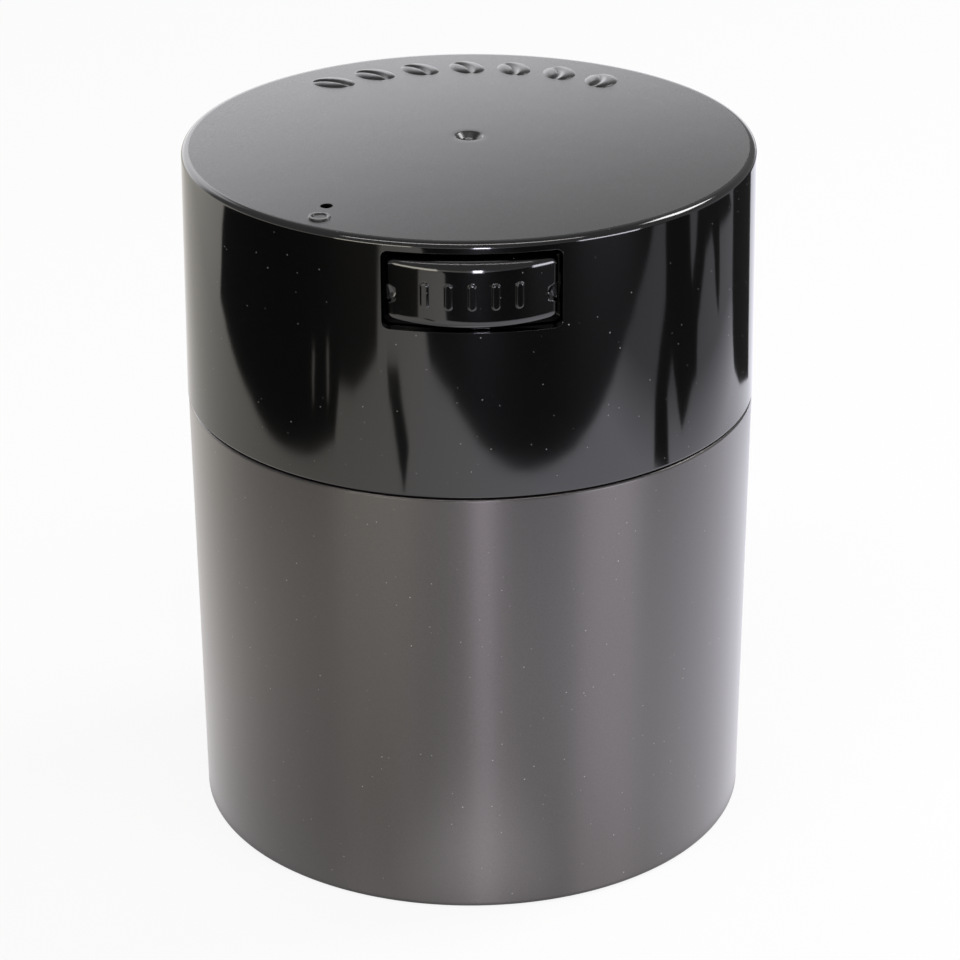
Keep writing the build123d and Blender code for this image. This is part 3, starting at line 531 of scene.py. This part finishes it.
top_rings = [4, 8, 12, 16, 20, 24, 28, 32, 36, 40, 44, 47, 49]
cap_shape = turn_profile(
    [
        (0.0, stub_height, 0),                      # the moulding mark: a stub in a countersink
        (stub_radius, stub_height, 0.1),
        (stub_radius, mark_floor, 0),
        (2 * stub_radius, mark_floor, 0),
        (mark_radius, crown(mark_radius), 0.15),
    ] + [(radius, crown(radius), 0) for radius in top_rings] + [
        (field_edge, rim_height, 0),
        (rim_radius, rim_height, 1.0),              # the rim's rounding
        (skirt_radius, skirt_foot, 0.5),            # the skirt and its foot
        (49.6, skirt_foot, 0.35),
        (skirt_inside, bead_height - 0.4, 0),       # the bead that snaps over the deck's edge
        (bead_radius, bead_height, 0.15),
        (skirt_inside, bead_height + 0.4, 0),
        (49.12, 125.73, 1.2),                       # the corner inside
    ] + [(radius, crown(radius) - top_thickness, 0) for radius in reversed(top_rings[1:-3])] + [
        (boss_radius, crown(boss_radius) - top_thickness, 0.3),
        (boss_radius, boss_foot, 0),
        (0.0, boss_foot, 0),
    ])

# Ribs from the corner of the shell down to the deck, left out where the button's plate is
for turn in range(-45, 226, 30):
    rib = bmesh.ops.create_cube(cap_shape, size=1.0)["verts"]
    bmesh.ops.scale(cap_shape, verts=rib, vec=(rib_length * MM, rib_thickness * MM, rib_height * MM))
    bmesh.ops.translate(cap_shape, verts=rib, vec=(rib_radius * MM, 0, rib_middle * MM))
    bmesh.ops.rotate(
        cap_shape, verts=rib, cent=(0, 0, 0), matrix=Matrix.Rotation(radians(turn), 3, "Z"))

cap_shell = piece_from(cap_shape, "cap_shell")

# What is cut out of the shell: the button's window, with rounded corners, and the vent hole
openings = bmesh.new()
window = bmesh.ops.create_cube(openings, size=1.0)["verts"]
bmesh.ops.scale(
    openings, verts=window, vec=(window_width * MM, window_depth * MM, window_height * MM))
bmesh.ops.translate(openings, verts=window, vec=(0, window_out * MM, window_middle * MM))
through = [
    edge for edge in openings.edges
    if abs((edge.verts[0].co - edge.verts[1].co).y) > window_depth / 2 * MM]
bmesh.ops.bevel(
    openings, geom=through, offset=window_corner * MM, offset_type="OFFSET", affect="EDGES", segments=8,
    profile=0.5, material=-1)
vent_way = Matrix.Translation((vent_middle[0] * MM, vent_middle[1] * MM, vent_height * MM))
bmesh.ops.create_cone(
    openings, cap_ends=True, segments=48, radius1=vent_radius * MM, radius2=vent_radius * MM,
    depth=vent_cut * MM, matrix=vent_way)
carve(cap_shell, openings, "DIFFERENCE")

# Raised shapes on the top: a plain ring beside the vent hole, and the row of beans along the back
raised = bmesh.new()
raised.from_mesh(cap_shell.data)
ring_corners = (
    (ring_inside, ring_root), (ring_inside, ring_relief),
    (ring_outside, ring_relief), (ring_outside, ring_root))
section = [raised.verts.new((x * MM, 0, z * MM)) for x, z in ring_corners]
for near, far in zip(section, section[1:] + section[:1]):
    raised.edges.new((near, far))
for corner in section[1:3]:
    bmesh.ops.bevel(
        raised, geom=[corner], offset=0.12 * MM, offset_type="OFFSET", affect="VERTICES", segments=3,
        profile=0.5, material=-1)
loose = [edge for edge in raised.edges if edge.is_wire]
bmesh.ops.spin(
    raised, geom=loose + list({vert for edge in loose for vert in edge.verts}), cent=(0, 0, 0),
    axis=(0, 0, 1), angle=2 * pi, steps=64, use_merge=True)
ring = [vert for vert in raised.verts if vert.co.xy.length < 2 * MM and abs(vert.co.z) < 2 * MM]
bmesh.ops.translate(
    raised, verts=ring, vec=(ring_middle[0] * MM, ring_middle[1] * MM, crown(ring_out) * MM))

for place_in_row in range(bean_count):
    turn = radians(90 - row_spread / 2 + place_in_row * row_spread / (bean_count - 1))
    bean = bmesh.ops.create_uvsphere(raised, u_segments=64, v_segments=32, radius=1.0)["verts"]
    # Each bean is fuller than an egg, with a curved crease along it
    for vert in bean:
        x, y, z = vert.co
        along, across = bean_length / 2 * x, bean_width / 2 * y
        beside_crease = (along ** 2 + (across - crease_radius) ** 2) ** 0.5 - crease_radius
        crease = exp(-(beside_crease / crease_width) ** 2)
        fuller = (1 + x * x + y * y) ** 0.5
        vert.co.z = z * fuller * (1 - crease_share * crease)
    bmesh.ops.scale(
        raised, verts=bean,
        vec=(bean_length / 2 * MM, bean_width / 2 * MM, (bean_relief + sunk) * MM))
    bmesh.ops.rotate(
        raised, verts=bean, cent=(0, 0, 0), matrix=Matrix.Rotation(radians(bean_lean), 3, "Z"))
    slope = row_radius / crown_radius
    bmesh.ops.rotate(raised, verts=bean, cent=(0, 0, 0), matrix=Matrix.Rotation(slope, 3, "Y"))
    bmesh.ops.rotate(raised, verts=bean, cent=(0, 0, 0), matrix=Matrix.Rotation(turn, 3, "Z"))
    middle = Vector((row_radius * cos(turn), row_radius * sin(turn), crown(row_radius) - sunk))
    bmesh.ops.translate(raised, verts=bean, vec=middle * MM)
bmesh.ops.recalc_face_normals(raised, faces=raised.faces[:])
raised.to_mesh(cap_shell.data)
raised.free()
shade_evenly(cap_shell)
fit(
    cap_shell, polished_abs("polished_and_textured_black_abs", 0.12, top_field=True), "cap", "outer_cap")

# Press button: the curved bar in the skirt's window, moulded from the same black ABS as the cap, and
# polished all over. Its upper edge is well rounded for the thumb, and plain raised bars on its face give a
# grip. The plate behind it, with the ears that stop it, is as the CAD has it.
bar_width = 28.4
bar_height = 12.0
bar_end_fall = 0.5          # of its top and its bottom edge, at its ends
bar_middle = 118.75
bar_depth = 3.0
bar_corner = 1.4
bar_edge = 0.6
upper_rounding = 2.0        # at the middle of the bar
upper_narrowing = 0.9       # how much smaller it is at its ends
lower_rounding = 1.5
fall_share = 0.65           # how far the face falls back there, against a full quarter circle
face_radius = 27.5
face_centre = -25.19        # of the face's arc, along Y
plate_front = 48.7          # radius of the plate's front, from which the bar stands out
plate_core = 47.8           # how far the bar is let into the plate
plate_cut = 40.0            # height of the cylinder that the plate is kept within
slice_width = 0.6           # between the cuts that let the bar bend
slice_height = 0.25
notch_radius = 1.6
notch_height = 118.0
notch_floor = -47.17        # along Y
notch_depth = 10.0          # of the cut, out past the face
grip_width = 1.3
grip_height = 4.6
grip_relief = 0.4
grip_depth = 1.0
grip_corner = 0.64
grip_edge = 0.25
grip_pitch = 4.0
grip_middle = 118.6


def rounded_block(width, depth, height, corner, edge):
    """A block with its face at Y = 0 towards -Y, round at its corners and all round its face."""
    block = bmesh.new()
    bmesh.ops.create_cube(block, size=1.0)
    bmesh.ops.scale(block, verts=block.verts[:], vec=(width * MM, depth * MM, height * MM))
    bmesh.ops.translate(block, verts=block.verts[:], vec=(0, depth / 2 * MM, 0))
    corners = [
        line for line in block.edges
        if abs((line.verts[0].co - line.verts[1].co).y) > 0.5 * depth * MM]
    bmesh.ops.bevel(
        block, geom=corners, offset=corner * MM, offset_type="OFFSET", affect="EDGES", segments=8,
        profile=0.5, material=-1)
    round_face = [
        line for line in block.edges if all(abs(vert.co.y) < 0.01 * MM for vert in line.verts)]
    bmesh.ops.bevel(
        block, geom=round_face, offset=edge * MM, offset_type="OFFSET", affect="EDGES", segments=8,
        profile=0.5, material=-1)
    return block


bar = rounded_block(bar_width, bar_depth, bar_height, bar_corner, bar_edge)
# Cuts across the block, fine enough for its curves
for step in range(-23, 24):
    bmesh.ops.bisect_plane(
        bar, geom=bar.verts[:] + bar.edges[:] + bar.faces[:], plane_co=(slice_width * step * MM, 0, 0),
        plane_no=(1, 0, 0))
for step in range(-23, 24):
    bmesh.ops.bisect_plane(
        bar, geom=bar.verts[:] + bar.edges[:] + bar.faces[:], plane_co=(0, 0, slice_height * step * MM),
        plane_no=(0, 0, 1))
# The block is bent to the face's curve, which falls back at its upper and lower edge, and its back to the
# plate's
for vert in bar.verts:
    x, behind, z = vert.co / MM
    if behind < bar_depth - 0.01:
        if z > 0:
            rounding = upper_rounding - upper_narrowing * (x / bar_width * 2) ** 2
        else:
            rounding = lower_rounding
        past = max(0.0, abs(z) - bar_height / 2 + rounding) / rounding
        fall_back = fall_share * rounding * (1 - (1 - min(past, 1.0) ** 2) ** 0.5)
        y = face_centre - (face_radius ** 2 - x ** 2) ** 0.5 + behind + fall_back
    else:
        y = -(plate_core ** 2 - x ** 2) ** 0.5
    shrink = 1 - bar_end_fall / (bar_height / 2) * (x / (bar_width / 2)) ** 2
    vert.co = Vector((x, y, bar_middle + z * shrink)) * MM
bmesh.ops.recalc_face_normals(bar, faces=bar.faces[:])
press_bar = piece_from(bar, "press_bar")

notches = bmesh.new()
for x in (-bar_width / 2, bar_width / 2):
    place_of_notch = Matrix.Translation((x * MM, (notch_floor - notch_depth / 2) * MM, notch_height * MM))
    bmesh.ops.create_cone(
        notches, cap_ends=True, segments=48, radius1=notch_radius * MM, radius2=notch_radius * MM,
        depth=notch_depth * MM, matrix=place_of_notch @ Matrix.Rotation(pi / 2, 4, "X"))
carve(press_bar, notches, "DIFFERENCE")

# The plate and what it carries: the CAD's button, kept as far out as the plate's front
cad_button = bmesh.new()
cad_button.from_mesh(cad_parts["press_button"].data)
bmesh.ops.remove_doubles(cad_button, verts=cad_button.verts[:], dist=0.001 * MM)
plate = piece_from(cad_button, "plate")
within = bmesh.new()
bmesh.ops.create_cone(
    within, cap_ends=True, segments=720, radius1=plate_front * MM, radius2=plate_front * MM,
    depth=plate_cut * MM, matrix=Matrix.Translation((0, 0, bar_middle * MM)))
carve(plate, within, "INTERSECT")

whole = bmesh.new()
whole.from_mesh(press_bar.data)
whole.from_mesh(plate.data)
bpy.data.objects.remove(plate)
for place_in_row in range(-2, 3):
    grip = rounded_block(grip_width, grip_depth, grip_height, grip_corner, grip_edge)
    turn = asin(place_in_row * grip_pitch / (face_radius + grip_relief))
    bmesh.ops.translate(grip, verts=grip.verts[:], vec=(0, -(face_radius + grip_relief) * MM, 0))
    bmesh.ops.rotate(grip, verts=grip.verts[:], cent=(0, 0, 0), matrix=Matrix.Rotation(turn, 3, "Z"))
    bmesh.ops.translate(grip, verts=grip.verts[:], vec=(0, face_centre * MM, grip_middle * MM))
    grip_mesh = bpy.data.meshes.new("grip")
    grip.to_mesh(grip_mesh)
    grip.free()
    whole.from_mesh(grip_mesh)
    bpy.data.meshes.remove(grip_mesh)
bmesh.ops.recalc_face_normals(whole, faces=whole.faces[:])
for face in whole.faces:
    face.material_index = 0
whole.to_mesh(press_bar.data)
whole.free()
shade_evenly(press_bar)
fit(press_bar, polished_abs("polished_black_abs", 0.25), "button", "press_button")


# Studio: a white floor of paper, with dark cards lying on it that show only in the cap's reflections, as
# the dark parts of the room do in the photograph.
def flat_stage(name, material, corners=None, radius=None, height=0.0):
    """A flat sheet on the floor, round or cut to its corners in millimetres."""
    mesh = bpy.data.meshes.new(name)
    shape = bmesh.new()
    if radius:
        bmesh.ops.create_circle(shape, cap_ends=True, segments=96, radius=radius * MM)
    else:
        ring = [shape.verts.new((x * MM, y * MM, height * MM)) for x, y in corners]
        shape.faces.new(ring)
    shape.to_mesh(mesh)
    shape.free()
    mesh.materials.append(material)
    sheet = bpy.data.objects.new(name, mesh)
    bpy.context.scene.collection.objects.link(sheet)
    return sheet


floor_radius = 4000.0
card_height = 0.5           # of the cards above the floor
gap_height = 1.0            # of the paper strips that lie on a card
camera_glow = 0.88          # how much of what the camera sees of the paper is its glow
shadow_middle = (-38 * MM, -82 * MM, 0)
patch_middle = (1 * MM, -74 * MM, 0)

# The paper keeps the canister's shadow, and the rest of what the camera and reflections see is its glow
paper, tree, place = new_finish("white_floor_paper")
fibres = add_node(tree, "ShaderNodeTexNoise", {"Vector": place, "Scale": 1 / (3 * MM), "Detail": 2.0})[0]
colour = add_node(
    tree, "ShaderNodeMix", {0: fibres, 6: linear("#f2f2f2"), 7: linear("#f6f6f6")}, data_type="RGBA")[2]
matte = add_node(tree, "ShaderNodeBsdfPrincipled", {"Base Color": colour, "Roughness": 0.9})[0]
seen = add_node(tree, "ShaderNodeLightPath")
mirrored = add_node(
    tree, "ShaderNodeMath", {0: seen["Is Glossy Ray"], 1: seen["Is Transmission Ray"]},
    operation="MAXIMUM")[0]
straight = add_node(
    tree, "ShaderNodeMath", {0: seen["Is Camera Ray"], 1: camera_glow}, operation="MULTIPLY")[0]
share = add_node(tree, "ShaderNodeMath", {0: mirrored, 1: straight}, operation="MAXIMUM")[0]
# Reflections see the paper brighten from left to right, again at the far left, and end at the far right
across = add_node(tree, "ShaderNodeSeparateXYZ", {"Vector": place})["X"]
from_left = add_node(
    tree, "ShaderNodeMapRange",
    {"Value": across, "From Min": -200 * MM, "From Max": 100 * MM, "To Min": 0.8, "To Max": 1.35})[0]
far_left = add_node(
    tree, "ShaderNodeMapRange",
    {"Value": across, "From Min": -270 * MM, "From Max": -400 * MM, "To Min": 0.0, "To Max": 0.4})[0]
far_right = add_node(
    tree, "ShaderNodeMapRange",
    {"Value": across, "From Min": 210 * MM, "From Max": 270 * MM, "To Min": 0.0, "To Max": -0.9})[0]
lit = add_node(tree, "ShaderNodeMath", {0: from_left, 1: far_left}, operation="ADD")[0]
lit = add_node(tree, "ShaderNodeMath", {0: lit, 1: far_right}, operation="ADD")[0]
# Next to the foot, and where the canister's shadow lies at its front left, they see darker paper: painted
# shade and a painted shadow in the paper's glow
from_axis = add_node(tree, "ShaderNodeVectorMath", {0: place}, operation="LENGTH")["Value"]
at_foot = add_node(
    tree, "ShaderNodeMapRange",
    {"Value": from_axis, "From Min": 50 * MM, "From Max": 52 * MM, "To Min": 0.3, "To Max": 1.0})[0]
from_shadow = add_node(
    tree, "ShaderNodeVectorMath", {0: place, 1: shadow_middle}, operation="DISTANCE")["Value"]
in_shadow = add_node(
    tree, "ShaderNodeMapRange",
    {"Value": from_shadow, "From Min": 20 * MM, "From Max": 105 * MM, "To Min": 0.62, "To Max": 1.0})[0]
# The front lamp's patch of light on the paper draws its streak out down to the canister's foot
from_patch = add_node(
    tree, "ShaderNodeVectorMath", {0: place, 1: patch_middle}, operation="DISTANCE")["Value"]
in_patch = add_node(
    tree, "ShaderNodeMapRange",
    {"Value": from_patch, "From Min": 28 * MM, "From Max": 8 * MM, "To Min": 0.0, "To Max": 1.3})[0]
lit = add_node(tree, "ShaderNodeMath", {0: lit, 1: in_patch}, operation="ADD")[0]
lit = add_node(tree, "ShaderNodeMath", {0: lit, 1: at_foot}, operation="MULTIPLY")[0]
lit = add_node(tree, "ShaderNodeMath", {0: lit, 1: in_shadow}, operation="MULTIPLY")[0]
lit = add_node(tree, "ShaderNodeMix", {0: seen["Is Camera Ray"], 2: lit, 3: 1.0})[0]
# The room's light is a little warm on the left and a little cold on the right
warm = [1.0, 0.96, 0.88, 1.0]
cold = [0.975, 0.97, 1.06, 1.0]
white = [1.0, 1.0, 1.0, 1.0]
side = add_node(
    tree, "ShaderNodeMapRange", {"Value": across, "From Min": -200 * MM, "From Max": 100 * MM})[0]
tint = add_node(tree, "ShaderNodeMix", {0: side, 6: warm, 7: cold}, data_type="RGBA")[2]
tint = add_node(
    tree, "ShaderNodeMix", {0: seen["Is Camera Ray"], 6: tint, 7: white}, data_type="RGBA")[2]
glow = add_node(tree, "ShaderNodeEmission", {"Color": tint, "Strength": lit})[0]
both = add_node(tree, "ShaderNodeMixShader", {0: share, 1: matte, 2: glow})[0]
add_node(tree, "ShaderNodeOutputMaterial", {"Surface": both})
flat_stage("floor", paper, radius=floor_radius)

dark_card, tree, place = new_finish("dark_card")
weave = add_node(tree, "ShaderNodeTexNoise", {"Vector": place, "Scale": 1 / (2 * MM), "Detail": 2.0})[0]
colour = add_node(
    tree, "ShaderNodeMix", {0: weave, 6: linear("#080808"), 7: linear("#0c0c0c")}, data_type="RGBA")[2]
surface(tree, base_color=colour, roughness=0.9)
# Each card's corners in millimetres, cut so that its reflection has the shape of the photograph's
cards = {
    "card_front": [
        (-79, -306), (-37, -294), (-1, -275), (31, -258), (61, -244), (104, -226), (151, -207),
        (187, -194), (231, -178), (276, -167), (350, -130), (450, -100), (700, 30), (700, -700),
        (-250, -700), (-96, -326),
    ],
    "card_left": [
        (-345, 118), (-290, 108), (-258, 0), (-240, -43), (-211, -123), (-198, -164), (-220, -192),
        (-200, -212), (-190, -235), (-180, -265), (-230, -340), (-400, -600), (-700, -500), (-700, 0),
        (-400, 110),
    ],
    "card_strip": [(-95, -215), (-100, -245), (-140, -280), (-162, -270)],
    "card_side": [
        (214, -50), (262, -60), (285, -50), (262, -38), (240, -25), (262, 2), (268, 16), (302, 25),
        (315, 37), (328, 47), (345, 62), (350, 90), (332, 95), (310, 92), (294, 92), (280, 95),
        (300, 109), (338, 124), (316, 186), (375, 175), (400, 42), (358, 25), (335, 9), (361, 7),
        (392, 7), (450, 0), (700, -80), (700, -140), (326, -73), (290, -84), (256, -88), (216, -80),
    ],
    "card_back_right": [
        (141, 172), (162, 158), (185, 140), (210, 130), (235, 138), (262, 155), (310, 190),
        (700, 420), (700, 700), (460, 700), (199, 268),
    ],
}
# Two narrow gaps in the left card: strips of paper that lie on it
gaps = {
    "gap_near": [(-257, -186), (-255, -190), (-225, -169), (-226, -166)],
    "gap_far": [(-269, -154), (-267, -158), (-238, -141), (-239, -139)],
}
mirrored_only = [
    flat_stage(name, dark_card, corners=cut, height=card_height) for name, cut in cards.items()]
mirrored_only += [flat_stage(name, paper, corners=cut, height=gap_height) for name, cut in gaps.items()]
for sheet in mirrored_only:
    sheet.visible_camera = False
    sheet.visible_diffuse = False
    sheet.visible_transmission = False
    sheet.visible_shadow = False

# Room: white where the camera looks. What reflections see of it is a white backdrop behind the canister,
# higher on the left than on the right, in a dim grey room.
room = bpy.data.worlds.new("studio")
bpy.context.scene.world = room
room.use_nodes = True
tree = room.node_tree
tree.nodes.clear()
ahead = add_node(tree, "ShaderNodeTexCoord")["Generated"]
way = add_node(tree, "ShaderNodeSeparateXYZ", {"Vector": ahead})
steep = add_node(tree, "ShaderNodeMath", {0: way["Z"], 1: 3.0}, operation="MULTIPLY")[0]
tilted = add_node(tree, "ShaderNodeMath", {0: way["X"], 1: 2.0, 2: steep}, operation="MULTIPLY_ADD")[0]
below_edge = add_node(
    tree, "ShaderNodeMapRange", {"Value": tilted, "From Min": 1.22, "From Max": 0.8},
    interpolation_type="SMOOTHSTEP")[0]
behind = add_node(
    tree, "ShaderNodeMapRange", {"Value": way["Y"], "From Min": 0.45, "From Max": 0.75},
    interpolation_type="SMOOTHSTEP")[0]
backdrop = add_node(tree, "ShaderNodeMath", {0: below_edge, 1: behind}, operation="MULTIPLY")[0]
grey_room = [0.33, 0.33, 0.33, 1.0]
lit_backdrop = [2.33, 2.32, 2.4, 1.0]
walls = add_node(
    tree, "ShaderNodeMix", {0: backdrop, 6: grey_room, 7: lit_backdrop}, data_type="RGBA")[2]
seen = add_node(tree, "ShaderNodeLightPath")
sky = add_node(
    tree, "ShaderNodeMix", {0: seen["Is Camera Ray"], 6: walls, 7: white}, data_type="RGBA")[2]
light = add_node(tree, "ShaderNodeBackground", {"Color": sky, "Strength": 1.0})[0]
add_node(tree, "ShaderNodeOutputWorld", {"Surface": light})


# Lamps: soft boxes round the canister. The three low ones draw the upright streaks on the body, the strip
# overhead lights the rim and the button's upper edge, and the high one at the right rear lights the rim
# there.
canister_middle = 64.0      # half its height


def direction(azimuth, elevation):
    """The way out from the canister, with the azimuth counted from the front, to the right."""
    a, e = radians(azimuth), radians(elevation)
    return Vector((sin(a) * cos(e), -cos(a) * cos(e), sin(e)))


def soft_box(name, azimuth, elevation, distance, width, height, power, tint=(1.0, 1.0, 1.0)):
    """A soft box that faces the canister: its place and size in millimetres, and its power in watts."""
    away = direction(azimuth, elevation)
    lamp = bpy.data.lights.new(name, "AREA")
    lamp.shape = "RECTANGLE"
    lamp.size = width * MM
    lamp.size_y = height * MM
    lamp.energy = power
    lamp.color = tint
    box = bpy.data.objects.new(name, lamp)
    box.location = Vector((0, 0, canister_middle * MM)) + away * distance * MM
    box.rotation_mode = "QUATERNION"
    box.rotation_quaternion = away.to_track_quat("Z", "Y")
    bpy.context.scene.collection.objects.link(box)


soft_box("overhead_strip", -4, 66, 1000, width=1300, height=120, power=4.0, tint=(1.0, 0.95, 0.94))
soft_box("front_strip", 4, 1, 500, width=50, height=120, power=0.42, tint=(1.0, 0.96, 1.13))
soft_box("left_strip", -36, 2, 500, width=260, height=100, power=0.32, tint=(1.0, 0.96, 0.82))
soft_box("right_strip", 52, 0, 500, width=220, height=115, power=0.7, tint=(0.98, 0.97, 1.08))
soft_box("right_high_box", 112, 45, 1000, width=400, height=300, power=4.5)

# Camera: in front of the canister and a little above it, as the photograph was taken. The shift is what
# the photograph's framing needs.
focal_length = 132.08
sensor_width = 36.0
camera_distance = 651.2
camera_azimuth = -0.43
camera_elevation = 24.518
camera_roll = -0.3125
aim_height = 63.76          # the point of the canister's axis that the lens points at
picture_size = 960          # pixels, across and down
aim_across = 470.70         # the pixel that this point falls on
aim_down = 467.87

lens = bpy.data.cameras.new("camera")
lens.lens = focal_length
lens.sensor_width = sensor_width
lens.shift_x = (picture_size / 2 - aim_across) / picture_size
lens.shift_y = -(picture_size / 2 - aim_down) / picture_size
camera = bpy.data.objects.new("camera", lens)
away = direction(camera_azimuth, camera_elevation)
camera.location = Vector((0, 0, aim_height * MM)) + away * camera_distance * MM
camera.rotation_mode = "QUATERNION"
roll = Matrix.Rotation(radians(camera_roll), 3, "Z").to_quaternion()
camera.rotation_quaternion = away.to_track_quat("Z", "Y") @ roll
bpy.context.scene.collection.objects.link(camera)
bpy.context.scene.camera = camera
bpy.context.scene.view_settings.view_transform = "Standard"
